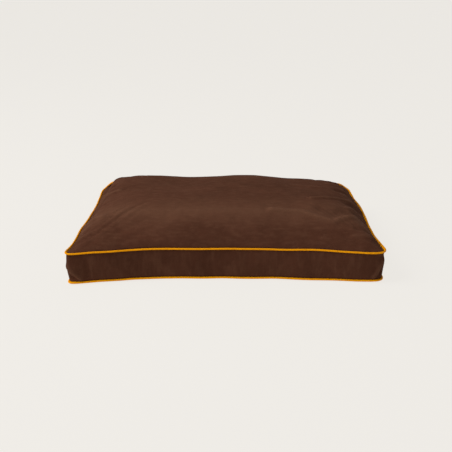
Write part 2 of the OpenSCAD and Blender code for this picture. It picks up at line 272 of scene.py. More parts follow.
def tube_faces(sides, n):
    """Faces of a tube whose rows run along it, with both its ends closed."""
    return wall_faces(sides, n) + [tuple(k * n + end for k in range(sides)) for end in (0, n - 1)]


def apply_modifiers(ob):
    dg = bpy.context.evaluated_depsgraph_get()
    me = bpy.data.meshes.new_from_object(ob.evaluated_get(dg))
    old = ob.data
    ob.modifiers.clear()
    ob.data = me
    bpy.data.meshes.remove(old)


def point_values(me, key):
    """What a mesh's points hold under co or normal, as rows of three."""
    a = np.empty(len(me.vertices) * 3)
    me.vertices.foreach_get(key, a)
    return a.reshape(-1, 3)


def coords(ob):
    return point_values(ob.data, "co")


def set_coords(ob, a):
    ob.data.vertices.foreach_set("co", np.asarray(a, float).ravel())
    ob.data.update()


def mark_painted_light(ob, values):
    """Stores painted highlight (+) and painted shade (-) at each point, for the suede."""
    values = np.clip(values, -1, 1).astype(np.float32)
    ob.data.attributes.new("rub_and_painted_light", "FLOAT", "POINT").data.foreach_set("value", values)


def give_thickness(ob):
    """One subdivision, then the cloth's thickness, inwards from the face that is seen."""
    sub = ob.modifiers.new("sub", "SUBSURF")
    sub.levels = sub.render_levels = 1
    sol = ob.modifiers.new("thickness", "SOLIDIFY")
    sol.thickness = COVER_T
    sol.offset = -1
    apply_modifiers(ob)


STRETCH = 20.0  # stiffness of the cover's cloth against stretching


def run_cloth(ob, rest, pinned, frames, pressure, cap, bend=0.4):
    """Cloth from the mesh's own shape, with springs that rest at another one and some points held.
    Each point's whole move is kept under the cap."""
    start = coords(ob).copy()
    ob.shape_key_add(name="Basis")
    key = ob.shape_key_add(name="rest")
    key.data.foreach_set("co", np.asarray(rest, float).ravel())
    vg = ob.vertex_groups.new(name="pin")
    vg.add([int(i) for i in pinned], 1.0, "REPLACE")
    mod = ob.modifiers.new("cloth", "CLOTH")
    c = mod.settings
    c.quality = 6
    c.mass = 0.25
    c.tension_stiffness = c.compression_stiffness = STRETCH
    c.shear_stiffness = STRETCH * 0.5
    c.bending_stiffness = bend
    c.tension_damping = c.compression_damping = c.shear_damping = 15
    c.bending_damping = 1.0
    c.air_damping = 6
    c.vertex_group_mass = "pin"
    c.rest_shape_key = key
    c.use_pressure = True
    c.uniform_pressure_force = pressure
    c.effector_weights.gravity = 0
    mod.collision_settings.use_collision = False
    mod.collision_settings.use_self_collision = False
    mod.point_cache.frame_start = 1
    mod.point_cache.frame_end = frames
    for f in range(1, frames + 1):
        scene.frame_set(f)
        dg = bpy.context.evaluated_depsgraph_get()
        ev = ob.evaluated_get(dg)
        ev.to_mesh()
        ev.to_mesh_clear()
    dg = bpy.context.evaluated_depsgraph_get()
    end = point_values(ob.evaluated_get(dg).to_mesh(), "co")
    ob.modifiers.clear()
    ob.shape_key_clear()
    scene.frame_set(1)
    move = end - start
    dist = np.linalg.norm(move, axis=1, keepdims=True)
    move *= cap * np.tanh(dist / cap) / np.maximum(dist, 1e-9)
    set_coords(ob, start + move)


# ---- the seams as tables
arc_mid = CORNER_R * math.sqrt(0.5)
S_RL, S_FL, S_FR, S_RR = (SEAM.nearest(sx * (CX + arc_mid), sy * (CY + arc_mid))
                          for sx, sy in ((-1, 1), (-1, -1), (1, -1), (1, 1)))
# corner, seam, how far its tip is drawn out in x, y and z, over what length, and how much it is rounded
EARS = (
    (S_FL, 1, (-0.008, -0.001, 0.002), 0.045, 0.004),
    (S_FR, 1, (0.01, 0.004, 0.003), 0.042, 0.019),
    (S_FL, 0, (-0.004, -0.009, 0.0), 0.09, 0.006),
    (S_FR, 0, (0.007, 0.002, 0.002), 0.05, 0.022),
    (S_RL, 1, (0.0, 0.004, 0.0), 0.06, 0.013),
    (S_RR, 1, (0.0, 0.004, 0.0), 0.06, 0.013),
    (S_RL, 0, (0.0, 0.0, 0.0), 0.06, 0.01),
    (S_RR, 0, (0.0, 0.0, 0.0), 0.06, 0.01),
)


def draw_out(line, s, place, pull, reach, rounding):
    """A seam's points with an ear drawn out at one place, and its tip rounded off."""
    away = np.abs(np.mod(s - place + SEAM.total / 2, SEAM.total) - SEAM.total / 2)
    line = line + np.exp(-(away / reach) ** 2)[:, None] * np.array(pull)
    k = np.arange(-40, 41)
    kernel = np.exp(-(k * (SEAM.total / len(line)) / rounding) ** 2 / 2)
    kernel /= kernel.sum()
    soft = sum(w * np.roll(line, -int(i), 0) for i, w in zip(k, kernel))
    mixed = np.exp(-(away / (0.03 + rounding * 2)) ** 4)[:, None]
    return line * (1 - mixed) + soft * mixed


class Seams:
    """Both seams' piping centres and their shared outward direction, sampled finely."""

    def __init__(self, n=1500):
        self.s = np.linspace(0, SEAM.total, n + 1)
        both = [np.array([seam_point(s, level)[0] for s in self.s[:-1]]) for level in (0, 1)]
        for place, level, pull, reach, rounding in EARS:
            both[level] = draw_out(both[level], self.s[:-1], place, pull, reach, rounding)
        mean = smoothed((both[0] + both[1])[:, :2], 6)
        t = np.roll(mean, -2, 0) - np.roll(mean, 2, 0)
        nrm = np.stack([t[:, 1], -t[:, 0]], -1)
        nrm /= np.linalg.norm(nrm, axis=1, keepdims=True)
        self.low, self.top, self.n = closed(both[0]), closed(both[1]), closed(nrm)

    def at(self, s):
        """The top seam, the bottom one and the outward direction at some arc lengths."""
        s = np.mod(s, SEAM.total)
        n = sample(s, self.s, self.n)
        n = n / np.linalg.norm(n, axis=-1, keepdims=True)
        return sample(s, self.s, self.top), sample(s, self.s, self.low), n


SEAMS = Seams()


def section(s, level, inset, rise):
    """Points beside a seam: inset towards the middle, rise away from the band."""
    top, low, n = SEAMS.at(s)
    p = (top if level else low).copy()
    p[..., :2] -= n * np.asarray(inset)[..., None]
    p[..., 2] += rise if level else -rise
    return p


# where the turned-in cloth leaves the piping, and how it runs inwards
FLANGE_TILT = math.radians(25)


def flange(along, across):
    """Inset and rise of a point in the turned-in cloth, which runs inwards at a tilt."""
    c, s = math.cos(FLANGE_TILT), math.sin(FLANGE_TILT)
    return along * c + across * s, -along * s + across * c


LEG = TAPE_T + HAIR / 2
FOLD = PIPE_R + HAIR
END = FOLD + 0.008
PANEL_FOLD = flange(FOLD, LEG + HAIR)
PANEL_END = flange(END, LEG + HAIR)
BAND_FOLD = flange(FOLD, -LEG - HAIR)
BAND_END = flange(END, -LEG - HAIR)

S_OPEN_L = SEAM.nearest(-OPENING, REAR_Y)
S_OPEN_R = SEAM.nearest(OPENING, REAR_Y)


def arc_between(a, b, n):
    """n + 1 arc lengths from a on to b, anticlockwise."""
    return a + np.linspace(0, 1, n + 1) * np.mod(b - a, SEAM.total)


def patch(nu, nv, level, inset, rise):
    """A grid between the four sides of a seam: [v][u] points, and each side's arc lengths."""
    f = section(arc_between(S_FL, S_FR, nu), level, inset, rise)
    r = section(arc_between(S_FR, S_RR, nv), level, inset, rise)
    b = section(arc_between(S_RR, S_RL, nu), level, inset, rise)[::-1]
    l = section(arc_between(S_RL, S_FL, nv), level, inset, rise)[::-1]
    u = np.linspace(0, 1, nu + 1)[None, :, None]
    v = np.linspace(0, 1, nv + 1)[:, None, None]
    p = (1 - v) * f[None] + v * b[None] + (1 - u) * l[:, None] + u * r[:, None]
    p -= (1 - u) * (1 - v) * f[0] + u * (1 - v) * f[-1] + (1 - u) * v * b[0] + u * v * b[-1]
    return p


def rim_ring(nu, nv):
    """Arc lengths and grid indices of a patch's rim, anticlockwise from the front left corner."""
    idx = [i for i in range(nu)] + [nu + j * (nu + 1) for j in range(nv)]
    idx += [nv * (nu + 1) + nu - i for i in range(nu)] + [(nv - j) * (nu + 1) for j in range(nv)]
    sides = ((S_FL, S_FR, nu), (S_FR, S_RR, nv), (S_RR, S_RL, nu), (S_RL, S_FL, nv))
    return idx, np.concatenate([arc_between(a, b, n)[:-1] for a, b, n in sides])


# ---- top panel
# folds (+) and hollows (-) in the top: points along each one, its height and its half-width
FOLDS = (
    # the cloth dips at the rear corners
    (((-0.44, 0.34), (-0.48, 0.31), (-0.495, 0.22)), -0.01, 0.03),
    (((0.45, 0.34), (0.48, 0.315), (0.495, 0.24)), -0.007, 0.028),
    # gathers along the left seam
    (((-0.505, 0.265), (-0.45, 0.245), (-0.41, 0.24)), -0.007, 0.014),
    (((-0.485, 0.205), (-0.455, 0.185), (-0.4, 0.19)), 0.005, 0.01),
    (((-0.5, 0.115), (-0.455, 0.085), (-0.415, 0.085)), -0.01, 0.015),
    (((-0.485, 0.048), (-0.45, 0.018), (-0.418, 0.004), (-0.378, 0.014)), 0.01, 0.01),
    (((-0.5, -0.03), (-0.46, -0.06), (-0.42, -0.075)), -0.007, 0.012),
    (((-0.485, -0.14), (-0.45, -0.18), (-0.405, -0.205)), 0.009, 0.01),
    (((-0.5, -0.215), (-0.465, -0.23)), -0.006, 0.01),
    (((-0.49, -0.292), (-0.443, -0.276)), 0.006, 0.009),
    # gathers along the right seam
    (((0.5, 0.2), (0.45, 0.18), (0.4, 0.165)), -0.006, 0.012),
    (((0.485, 0.15), (0.44, 0.132), (0.38, 0.125)), 0.006, 0.01),
    (((0.5, 0.1), (0.45, 0.085), (0.4, 0.06)), -0.006, 0.013),
    (((0.48, 0.04), (0.43, -0.02), (0.37, -0.06), (0.29, -0.095)), 0.008, 0.01),
    (((0.5, 0.01), (0.45, -0.04), (0.41, -0.075)), -0.007, 0.011),
    (((0.485, -0.06), (0.45, -0.09), (0.41, -0.13)), 0.006, 0.009),
    (((0.5, -0.1), (0.46, -0.125), (0.43, -0.155)), -0.006, 0.01),
    (((0.5, -0.17), (0.47, -0.185)), -0.004, 0.01),
    (((0.5, -0.235), (0.46, -0.25), (0.42, -0.26)), -0.005, 0.011),
    (((0.49, -0.268), (0.46, -0.282), (0.41, -0.291)), 0.005, 0.009),
    # the long crease in front on the right, the dimple behind it, a slight one at the back, the front crest
    (((0.15, -0.185), (0.25, -0.195), (0.3, -0.222), (0.35, -0.24), (0.41, -0.2)), 0.009, 0.012),
    (((0.315, -0.175), (0.355, -0.192), (0.4, -0.172)), -0.007, 0.024),
    (((0.245, 0.075), (0.345, 0.065)), 0.004, 0.012),
    (((-0.36, -0.19), (-0.09, -0.195), (0.18, -0.186)), 0.003, 0.022),
)


def fold_height(x, y):
    """How far the folds lift the cloth here, with a shallow hollow along each side of them."""
    total = 0.0
    for line, height, width in FOLDS:
        near = min([1.0] + [line_distance(x, y, a, b) for a, b in zip(line, line[1:])])
        if near < 6 * width:
            total += height * (bump(near, 0, width) - 0.3 * bump(near, 0, 2.4 * width))
    return total


def corner_dip(x, y):
    """How far the cloth sinks towards the rear corners, where there is less stuffing."""
    return (0.024 * mound(x, y, -0.442, 0.29, 0.052, 0.10) + 0.013 * mound(x, y, 0.425, 0.29, 0.055, 0.10)
            + 0.005 * mound(x, y, 0.365, 0.25, 0.050, 0.10))


# lumps (+) and hollows (-) of the stuffing: height, middle in x and y, half-width in x and y
LUMPS = (
    (-0.018, 0.29, 0.17, 0.13, 0.14),
    (-0.011, -0.14, 0.14, 0.12, 0.13),
    (0.004, 0.09, 0.15, 0.07, 0.12),
    (0.005, -0.41, 0.12, 0.06, 0.12),
    (-0.006, 0.33, 0.02, 0.10, 0.10),
    (0.005, -0.31, 0.24, 0.09, 0.12),
)


def top_height(x, y):
    """Rise of the stuffed top: level in the middle, lower at the back right, lumpy as fibre is."""
    h = crown(x, y)
    k = h / CROWN
    lie = 0.0030 * n3(x, y, 0, 0.16, 21) + 0.0014 * n3(x, y, 0, 0.07, 22)
    for height, *place in LUMPS:
        lie += height * mound(x, y, *place)
    corner = 0.012 * mound(abs(x), y, 0.49, 0.33, 0.06, 0.09)
    return h - 0.0075 * k + k * (lie - corner)


SLOPE = 0.070  # width of the strip beside a side seam in which the cloth rises gently


def hold_sides(verts, loose):
    """Beside the side seams the cloth rises gently and never hangs over them."""
    sides = []
    for a, b in ((S_RL, S_FL), (S_FR, S_RR)):
        line = SEAMS.at(arc_between(a, b, 200))[0]
        sides.append(line[np.argsort(line[:, 1])])
    for k in loose:
        x, y, z = verts[k]
        line = sides[int(x > 0)]
        edge = abs(np.interp(y, line[:, 1], line[:, 0])) - PANEL_FOLD[0]
        foot = np.interp(y, line[:, 1], line[:, 2]) + PANEL_FOLD[1]
        inset = edge - abs(x)
        if inset < SLOPE:
            inset = max(inset, 0.0006)
            verts[k, 0] = math.copysign(edge - inset, x)
            over = z - (foot + 0.001 + inset)
            verts[k, 2] -= max(0.0, over) * (1 - smooth01(inset, 0.030, SLOPE))


def add_folds(ob, verts, loose):
    """Folds and the sunken rear corners go on last, so that they stay crisp."""
    out = point_values(ob.data, "normal")
    out *= np.sign(out[:, 2:].sum())
    rub_and_painted_light = np.zeros(len(verts))
    for k in loose:
        x, y, z = verts[k]
        fold = fold_height(x, y) * min(1.0, max(0.0, z - Z_TOP) / 0.014)
        verts[k] += out[k] * fold
        verts[k, 2] -= corner_dip(x, y) * smooth01(z - Z_TOP, 0.004, 0.040)
        # painted highlight on fold ridges (+) and painted shade in fold hollows (-), by the fold's height
        rub_and_painted_light[k] = fold / 0.007
    set_coords(ob, verts)
    mark_painted_light(ob, rub_and_painted_light)


def make_top_panel():
    nu, nv = ((168, 120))
    p = patch(nu, nv, 1, *PANEL_FOLD)
    for j in range(1, nv):
        for i in range(1, nu):
            x, y = p[j, i, 0], p[j, i, 1]
            p[j, i, 2] += top_height(x, y) + 0.0006 * n3(x, y, 0, 0.02, 30)
    ob = new_object("top_panel.cloth", p.reshape(-1, 3), grid_faces(nv + 1, nu + 1))
    verts = coords(ob)
    rim = [k for k in range(len(verts)) if k % (nu + 1) in (0, nu) or k // (nu + 1) in (0, nv)]
    # spare cloth, most of it along the side seams, which the simulation throws into gathers
    rest = verts.copy()
    rest[:, 1] *= 1.012 + 0.075 * smooth01(np.abs(verts[:, 0]), 0.33, 0.48)
    rest[:, 0] *= 1.010 + 0.012 * smooth01(np.abs(verts[:, 1]), 0.20, 0.33)
    run_cloth(ob, rest, rim, 26, 3.0, 0.011)
    verts = coords(ob)
    loose = sorted(set(range(len(verts))) - set(rim))
    hold_sides(verts, loose)
    set_coords(ob, verts)
    add_folds(ob, verts, loose)
    close_panel(ob, nu, nv, 1)
    return ob


# ---- a panel's turned-in edge
def close_panel(ob, nu, nv, level):
    """Adds the seam allowance round a patch, and gives it its thickness."""
    idx, s = rim_ring(nu, nv)
    bm = bmesh.new()
    bm.from_mesh(ob.data)
    bm.verts.ensure_lookup_table()
    rim = [bm.verts[k] for k in idx]
    new = [bm.verts.new(tuple(map(float, c))) for c in section(s, level, *PANEL_END)]
    n = len(idx)
    for i in range(n):
        j = (i + 1) % n
        bm.faces.new((rim[i], rim[j], new[j], new[i]))
    bmesh.ops.recalc_face_normals(bm, faces=bm.faces)
    up = sum(f.normal.z * f.calc_area() for f in bm.faces)
    if (up > 0) != (level == 1):
        bmesh.ops.reverse_faces(bm, faces=bm.faces)
    bm.to_mesh(ob.data)
    bm.free()
    shade_smooth(ob.data)
    give_thickness(ob)


RIM_RISE, RIM_REACH = 0.0076, 0.055  # how high the underside's rim curls up, and over what width


def make_bottom_panel():
    nu, nv = 90, 64
    p = patch(nu, nv, 0, *PANEL_FOLD)
    for j in range(1, nv):
        for i in range(1, nu):
            x, y = p[j, i, 0], p[j, i, 1]
            by_end = abs(-front_y(x) if y < 0 else REAR_Y) - abs(y)
            d = min(side_x(y) - abs(x), by_end) - PANEL_FOLD[0]
            t = max(0.0, 1 - d / RIM_REACH)
            pucker = 0.0010 * n3(x, y, 0, 0.018, 40) * smooth01(t, 0, 0.5) * (1 - t)
            p[j, i, 2] = max(0.0, RIM_RISE * t ** 1.7 + pucker * 0.7)
    ob = new_object("bottom_panel.cloth", p.reshape(-1, 3), grid_faces(nv + 1, nu + 1))
    close_panel(ob, nu, nv, 0)
    return ob


# ---- side band
def band_rows(s, levels, bulge=True):
    """Outer face of the band: rows from the top seam's fold to the bottom one's."""
    a, b = section(s, 1, *BAND_FOLD), section(s, 0, *BAND_FOLD)
    n = SEAMS.at(s)[2]
    rows = []
    for t in levels:
        r = a * t + b * (1 - t)
        r[:, :2] += n * (BULGE * math.sin(math.pi * t) if bulge else 0)
        rows.append(r)
    return rows


# creases near the band's front corners, as lines in its face: (x, z) ends, depth and half-width
CREASES = (
    ((-0.505, 0.066), (-0.455, 0.01), 0.0075, 0.006),
    ((-0.482, 0.018), (-0.505, 0.032), -0.008, 0.012),
    ((0.505, 0.092), (0.468, 0.018), 0.005, 0.0055),
    ((0.505, 0.066), (0.486, 0.012), -0.0055, 0.0065),
    ((0.505, 0.04), (0.492, 0.02), 0.004, 0.005),
    ((-0.44, 0.08), (-0.436, 0.03), -0.0025, 0.009),
    ((0.1, 0.085), (0.16, 0.025), 0.0014, 0.011),
    ((-0.23, 0.07), (-0.17, 0.02), 0.0014, 0.012),
)


def crease_depth(x, z):
    """How far the creases press the band in or out here."""
    return sum(depth * bump(line_distance(x, z, a, b), 0, width) for a, b, depth, width in CREASES)


def crease_band(verts, nrm, levels):
    """Presses the creases into the front of the band, and returns the painted highlight (+) and painted
    shade (-) along them.
    """
    rub_and_painted_light = np.zeros(verts.shape[:2])
    for k, t in enumerate(levels[1:-1], 1):
        for i in range(1, verts.shape[1] - 1):
            x, y, z = verts[k, i]
            if y < -0.29:
                held = min(1, 3 * math.sin(math.pi * t)) * smooth01(-nrm[i, 1], 0.2, 0.8)
                crease = held * crease_depth(x, z)
                verts[k, i, :2] += nrm[i] * crease
                # painted highlight where the band stands out at a crease, painted shade where it is pressed
                # in
                rub_and_painted_light[k, i] = crease / 0.006
    return rub_and_painted_light


def make_band():
    n = 560
    s = arc_between(S_OPEN_L, S_OPEN_R, n)
    corner = S_FR + SEAM.total * np.round((s - S_FR) / SEAM.total)
    levels = np.linspace(1, 0, 23)
    last = len(levels) - 1
    rows = np.array(band_rows(s, levels))
    nrm = SEAMS.at(s)[2]
    for k, t in enumerate(levels[1:-1], 1):
        # the front right corner is drawn in, most of all just under the top seam
        tuck = -0.002 * bump(t, 0.35, 0.20) - 0.007 * bump(t, 0.86, 0.12)
        for i in range(1, n):
            x, y, z = rows[k, i]
            wave = 0.0010 * n3(x, y, z, 0.05, 50) + 0.0020 * n3(x, y, z * 0.3, 0.13, 51)
            wave += 0.0006 * n3(x, y, z * 0.25, 0.018, 52)
            wave += bump(s[i], corner[i], 0.03) * tuck
            rows[k, i, :2] += nrm[i] * min(1, 1.6 * math.sin(math.pi * t)) * wave
    ob = new_object("boxing_band.cloth", rows.reshape(-1, 3), grid_faces(len(levels), n + 1))
    pinned = [k * (n + 1) + i for k in range(last + 1) for i in range(n + 1)
              if k in (0, last) or i in (0, n)]
    rest = coords(ob)
    rest[:, :2] *= 1.022
    rest[:, 2] = ZIP_Z + (rest[:, 2] - ZIP_Z) * 1.02
    run_cloth(ob, rest, pinned, 20, 2.0, 0.0040, bend=0.3)
    verts = coords(ob).reshape(len(levels), n + 1, 3)
    rub_and_painted_light = crease_band(verts, nrm, levels)
    set_coords(ob, verts)
    add_band_lips(ob, s, len(levels), n + 1, rub_and_painted_light.ravel())
    return ob


def nearness(face):
    """How far to the front a face at half height lies."""
    centre = face.calc_center_median()
    return -centre.y if abs(centre.z - ZIP_Z) < 0.02 else -9


def add_band_lips(ob, s, rows, cols, rub_and_painted_light):
    """Adds the seam allowances along both edges of the band, and gives it its thickness."""
    verts = [tuple(v) for v in coords(ob)]
    faces = [tuple(p.vertices) for p in ob.data.polygons]
    a, last = len(verts), (rows - 1) * cols
    verts += [tuple(v) for level in (1, 0) for v in section(s, level, *BAND_END)]
    for i in range(cols - 1):
        faces.append((i, i + 1, a + i + 1, a + i))
        faces.append((last + i, last + i + 1, a + cols + i + 1, a + cols + i))
    me = bpy.data.meshes.new("band")
    me.from_pydata([tuple(map(float, v)) for v in verts], [], faces)
    bm = bmesh.new()
    bm.from_mesh(me)
    bmesh.ops.recalc_face_normals(bm, faces=bm.faces)
    # the cloth's right side looks outwards
    if max(bm.faces, key=nearness).normal.y > 0:
        bmesh.ops.reverse_faces(bm, faces=bm.faces)
    bm.to_mesh(me)
    bm.free()
    shade_smooth(me)
    ob.data = me
    mark_painted_light(ob, np.concatenate([rub_and_painted_light, np.zeros(len(verts) - len(rub_and_painted_light))]))
    give_thickness(ob)


# ---- closed cloth from rows of its two faces
def cloth_solid(name, outer, inner):
    """Outer and inner rows of points, closed along both edges and at both ends."""
    rows = [np.asarray(r) for r in list(outer) + list(inner)[::-1]]
    n, m = len(rows[0]), len(rows)
    faces = wall_faces(m, n)
    for k in range(len(outer) - 1):
        for e in (0, n - 1):
            faces.append((k * n + e, (k + 1) * n + e, (m - 2 - k) * n + e, (m - 1 - k) * n + e))
    return new_object(name, np.concatenate(rows), faces)


def rear_row(s, t):
    """A row of the rear strips at share t of the band's height: level by the zip, out to the seams."""
    r = band_rows(s, [t], bulge=False)[0]
    level = (Z_LOW - BAND_FOLD[1]) * (1 - t) + (Z_TOP + BAND_FOLD[1]) * t
    to_seam = smooth01(abs(t - 0.5), 0.14, 0.5)
    r[:, 2] = level + (r[:, 2] - level) * to_seam / max(abs(t - 0.5) * 2, 1e-3) ** 0.5
    return r


STITCH_AT = 0.648  # share of the band's height at which the upper strip is stitched to the zip


def make_rear_strip(name, upper):
    """One of the two strips beside the zip, its inner edge turned back behind itself."""
    s = arc_between(S_OPEN_R + 0.0004, S_OPEN_L - 0.0004, 140)
    nrm = SEAMS.at(s)[2]
    level = 1 if upper else 0

    def at(t, off):
        r = rear_row(s, t if upper else 1 - t)
        wave = np.array([0.0014 * n3(x, 0, t, 0.06, 60 + level)
                         + 0.0008 * n3(x, 0, t * 3, 0.025, 62 + level) for x in r[:, 0]])
        full = math.sin(math.pi * t)
        out = BULGE * full + off + wave * smooth01(t, 0.66, 0.85) * full * 1.4
        r[:, :2] += nrm * (out - 0.0007 * bump(t, STITCH_AT, 0.012))[:, None]
        return r

    edge = 0.5 + ZIP_GAP / 2 / (Z_TOP - Z_LOW)
    turn = edge + COVER_T / (Z_TOP - Z_LOW)
    behind = -2 * COVER_T - HAIR
    shares = [0.93, 0.85, 0.77, 0.69, 0.66, 0.63, 0.60, edge + 0.018, edge + 0.006, edge]
    fold_in = section(s, level, *BAND_FOLD)
    fold_in[:, :2] -= nrm * 0.0012
    fold_in[:, 2] -= 0.0014 if upper else -0.0014
    outer = [section(s, level, *flange(END, -LEG - HAIR)), section(s, level, *BAND_FOLD)]
    outer += [at(t, 0) for t in shares] + [at(edge, behind), at(edge + 0.10, behind)]
    inner = [section(s, level, *flange(END, -LEG - HAIR - COVER_T)), fold_in]
    inner += [at(max(t, turn), -COVER_T) for t in shares]
    inner += [at(turn, -COVER_T - HAIR / 2), at(edge + 0.10, -COVER_T - HAIR)]
    return cloth_solid(name, outer, inner)


# ---- piping
JOIN = SEAM.nearest(-0.300, REAR_Y)
CORD_R, CORD_TWIST = 0.00185, 0.019


def make_piping(name, level, seed):
    """A strip of cloth round the cord, with both its legs caught in the seam."""
    n = 620
    gap = 0.00002
    s = JOIN + gap + np.linspace(0, 1, n + 1) * (SEAM.total - 2 * gap)
    fat = np.array([1 + 0.030 * n3(q / 0.03, seed, 0, 1, seed) for q in s])

    def rows(r, leg, steps=16):
        out = [section(s, level, *flange(END, leg))]
        start = math.asin(leg / r)
        for i in range(steps + 1):
            a = start + (2 * math.pi - 2 * start) * i / steps - FLANGE_TILT
            out.append(section(s, level, r * math.cos(a) * fat, r * math.sin(a) * fat))
        out.append(section(s, level, *flange(END, -leg)))
        return out

    return cloth_solid(name, rows(PIPE_R, LEG), rows(PIPE_R - TAPE_T, HAIR / 2))


def make_cord(name, level):
    """Three plies twisted together, as cotton piping cord is."""
    n, k = ((700, 15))
    s = JOIN + 0.0004 + np.linspace(0, 1, n) * (SEAM.total - 0.0008)
    rows = []
    for i in range(k):
        a = 2 * math.pi * i / k
        turn = a + s / CORD_TWIST * 2 * math.pi
        r = CORD_R + 0.00018 * np.cos(3 * turn)
        rows.append(section(s, level, r * math.cos(a), r * math.sin(a)))
    return new_object(name, np.concatenate(rows), tube_faces(k, n))


# ---- zip, label and thread, on the rear
def to_zip(x, y, z):
    return (x, REAR_Y + y, ZIP_Z + z)


def make_tape(name, side):
    """Woven zip tape, a little thinner along its two edges."""
    xs = np.linspace(-OPENING + 0.001, OPENING - 0.001, 240)
    zs = [COIL_GAP / 2, COIL_GAP / 2 + 0.0004, 0.0036, 0.0038, 0.0042, 0.0055, 0.009, 0.0143, 0.0146]

    def face(y, edge_y):
        ys = [edge_y] + [y] * (len(zs) - 2) + [edge_y]
        return [[to_zip(x, h, side * z) for x in xs] for h, z in zip(ys, zs)]

    front = TAPE_Y + TAPE_T
    wear_and_painted_light = 0.00012  # how much thinner the tape is along its two edges
    return cloth_solid(name, face(front, front - wear_and_painted_light), face(TAPE_Y, TAPE_Y + wear_and_painted_light))


def squarish(v):
    """A sine or cosine pressed towards a square wave, which flattens a round loop."""
    return math.copysign(abs(v) ** 0.7, v)


def make_coil(name, side):
    """One row of a nylon coil zip: a flattened spiral whose heads meet the other row's."""
    pitch, wire, sides = 0.0015, 0.00036, 5
    length = 2 * (CHAIN - 0.0034)
    turns = int(length / pitch)
    per = 12
    middle_y = TAPE_Y + TAPE_T + HAIR + COIL_H / 2
    middle_z = COIL_GAP / 2 + COIL_W / 2
    ry, rz = COIL_H / 2 - wire, COIL_W / 2 - wire
    path = []
    for i in range(turns * per + 1):
        a = 2 * math.pi * i / per
        x = -length / 2 + pitch * i / per + (pitch / 2 if side < 0 else 0)
        z = side * (middle_z + rz * squarish(math.cos(a)))
        path.append((x, middle_y + ry * squarish(math.sin(a)), z))
    path = np.array(path)
    t = np.gradient(path, axis=0)
    t /= np.linalg.norm(t, axis=1, keepdims=True)
    a = np.cross(t, np.array([1.0, 0, 0]))
    a /= np.linalg.norm(a, axis=1, keepdims=True)
    b = np.cross(t, a)
    turn = [2 * math.pi * k / sides for k in range(sides)]
    verts = np.concatenate([path + wire * (math.cos(q) * a + math.sin(q) * b) for q in turn])
    return new_object(name, verts + np.array(to_zip(0, 0, 0)), tube_faces(sides, len(path)))


STITCH, STITCH_GAP, THREAD_R = 0.0030, 0.0009, 0.00028


def stitch_mesh(name, path, normals):
    """A row of thread stitches sunk a little into the cloth along a path."""
    path, normals = np.asarray(path), np.asarray(normals)
    d = np.concatenate([[0], np.cumsum(np.linalg.norm(np.diff(path, axis=0), axis=1))])
    verts, faces = [], []
    # along each stitch: share of its length, height over the path, and share of the thread's radius
    shape = ((0.0, -0.00022, 0.5), (0.2, 0.0001, 1), (0.5, 0.0002, 1), (0.8, 0.0001, 1), (1, -0.00022, 0.5))
    sides = 6
    for i in range(int(d[-1] / (STITCH + STITCH_GAP))):
        base = len(verts)
        for share, lift, w in shape:
            s = (i + 0.1) * (STITCH + STITCH_GAP) + share * STITCH
            n = sample(s, d, normals)
            t = sample(s + 1e-4, d, path) - sample(s - 1e-4, d, path)
            b = np.cross(t / np.linalg.norm(t), n)
            c = sample(s, d, path) + n * lift
            for k in range(sides):
                a = 2 * math.pi * k / sides
                verts.append(c + THREAD_R * w * (math.cos(a) * n * 0.8 + math.sin(a) * b))
        for j in range(len(shape) - 1):
            near, far = base + j * sides, base + (j + 1) * sides
            for k in range(sides):
                m = (k + 1) % sides
                faces.append((near + k, near + m, far + m, far + k))
        faces += [tuple(base + end * sides + k for k in range(sides)) for end in (0, len(shape) - 1)]
    return new_object(name, verts, faces)


def rear_surface(s, t):
    """A point and its outward normal on the rear strips at share t of the band's height."""
    r = rear_row(s, t)
    n = SEAMS.at(s)[2]
    r[:, :2] += n * (BULGE * math.sin(math.pi * t))
    return r, np.hstack([n, np.zeros((len(n), 1))])


def make_stitches():
    s = arc_between(S_OPEN_R + 0.001, S_OPEN_L - 0.001, 400)
    out = []
    for name, t in (("stitches_zip_upper", STITCH_AT), ("stitches_zip_lower", 1 - STITCH_AT)):
        p, n = rear_surface(s, t)
        out.append(stitch_mesh(name, p - n * 0.0005, n))
    for name, s0, d in (("stitches_end_left", S_OPEN_L, 1), ("stitches_end_right", S_OPEN_R, -1)):
        t = np.linspace(0.93, 0.07, 60)
        place = np.array([s0 + d * 0.0035])
        pts = np.concatenate([rear_surface(place, q)[0] for q in t])
        n = rear_surface(place, 0.5)[1].repeat(len(t), 0)
        out.append(stitch_mesh(name, pts + n * 0.0004, n))
    return out


# the label's sides, and the shares of the band's height at its top and over which it hangs
LABEL_X, LABEL_TOP, LABEL_DROP = (0.378, 0.409), 0.36, 0.24


def make_label():
    """A blank folded satin label, caught in the bottom seam and lying against the strip."""
    n, m = 16, 22
    rows_out, rows_in = [], []
    for k in range(m + 1):
        down = k / m
        t = LABEL_TOP - LABEL_DROP * down
        lift = 0.0005 + 0.0006 * math.sin(math.pi * down) ** 2
        ro, ri = [], []
        for i in range(n + 1):
            x = LABEL_X[1] + (LABEL_X[0] - LABEL_X[1]) * i / n
            p = rear_surface(np.array([SEAM.nearest(x, REAR_Y)]), t)[0][0]
            curl = 0.0010 * ((2 * i / n - 1) ** 2) * (1 - down)
            y = p[1] + lift + curl + 0.0003 * math.sin(9 * i / n + 5 * down)
            ro.append((x, y + 0.0005, p[2]))
            ri.append((x, y, p[2]))
        rows_out.append(ro)
        rows_in.append(ri)
    return cloth_solid("care_label.satin", rows_out, rows_in)


# ---- insert
EDGE, WAIST = 0.955, 0.965  # the insert's plan as shares of the seam's


